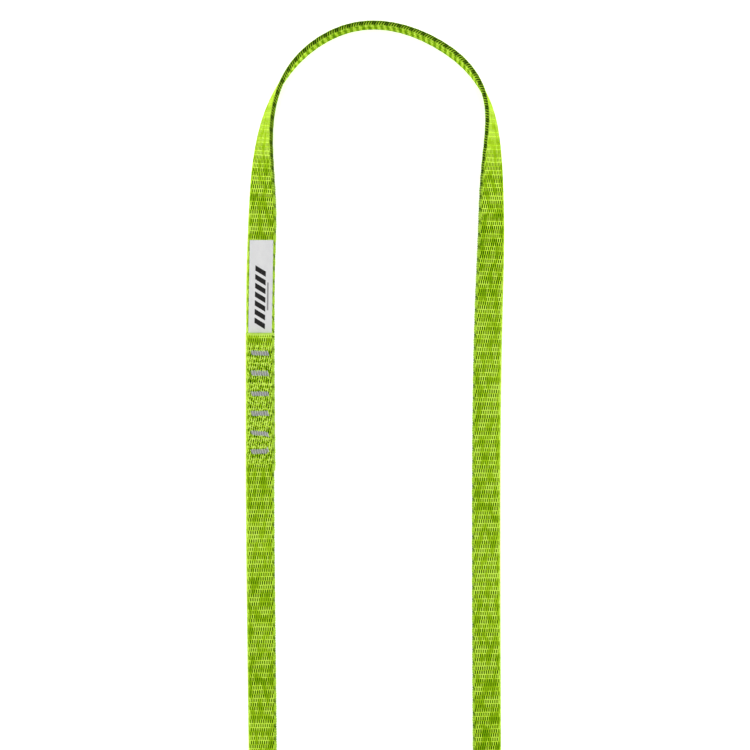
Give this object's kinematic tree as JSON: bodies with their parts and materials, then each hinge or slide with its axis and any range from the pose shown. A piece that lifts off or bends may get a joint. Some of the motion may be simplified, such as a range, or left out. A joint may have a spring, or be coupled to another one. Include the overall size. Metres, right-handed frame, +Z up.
{
  "type": "flat web sling",
  "caption": "Endless flat web sling: one flat webbing strap lapped and bartacked into a long loop, with a folded fabric label in the seam.",
  "frame": {"origin": "middle of the loop's bounding box, on the surface that the sling lies on", "axes": "+Y along the loop's legs, towards the eye nearest the label; +X across the loop, with the seam on the -X leg; +Z up from the surface"},
  "size_m": [0.1441, 0.5308, 0.0161],
  "materials": {
    "webbing": "woven, slightly shiny polyester filament",
    "label": "fine matt woven ribbon",
    "thread": "twisted filament sewing thread"
  },
  "bodies": {
    "sling": {"webbing": "webbing", "label_tail": "label", "bartack_1_needle_thread": "thread", "bartack_2_needle_thread": "thread", "bartack_3_needle_thread": "thread", "bartack_4_needle_thread": "thread", "bartack_5_needle_thread": "thread", "bartack_6_needle_thread": "thread", "bartack_1_bobbin_thread": "thread", "bartack_2_bobbin_thread": "thread", "bartack_3_bobbin_thread": "thread", "bartack_4_bobbin_thread": "thread", "bartack_5_bobbin_thread": "thread", "bartack_6_bobbin_thread": "thread"},
    "label": {"label_flap": "label"}
  },
  "joints": [
    {"name": "label_fold", "type": "hinge", "parent": "sling", "child": "label", "pos_m": [-0.064, 0.0934, 0.0054], "axis": [1, 0, 0], "range_deg": [0, 175]}
  ]
}
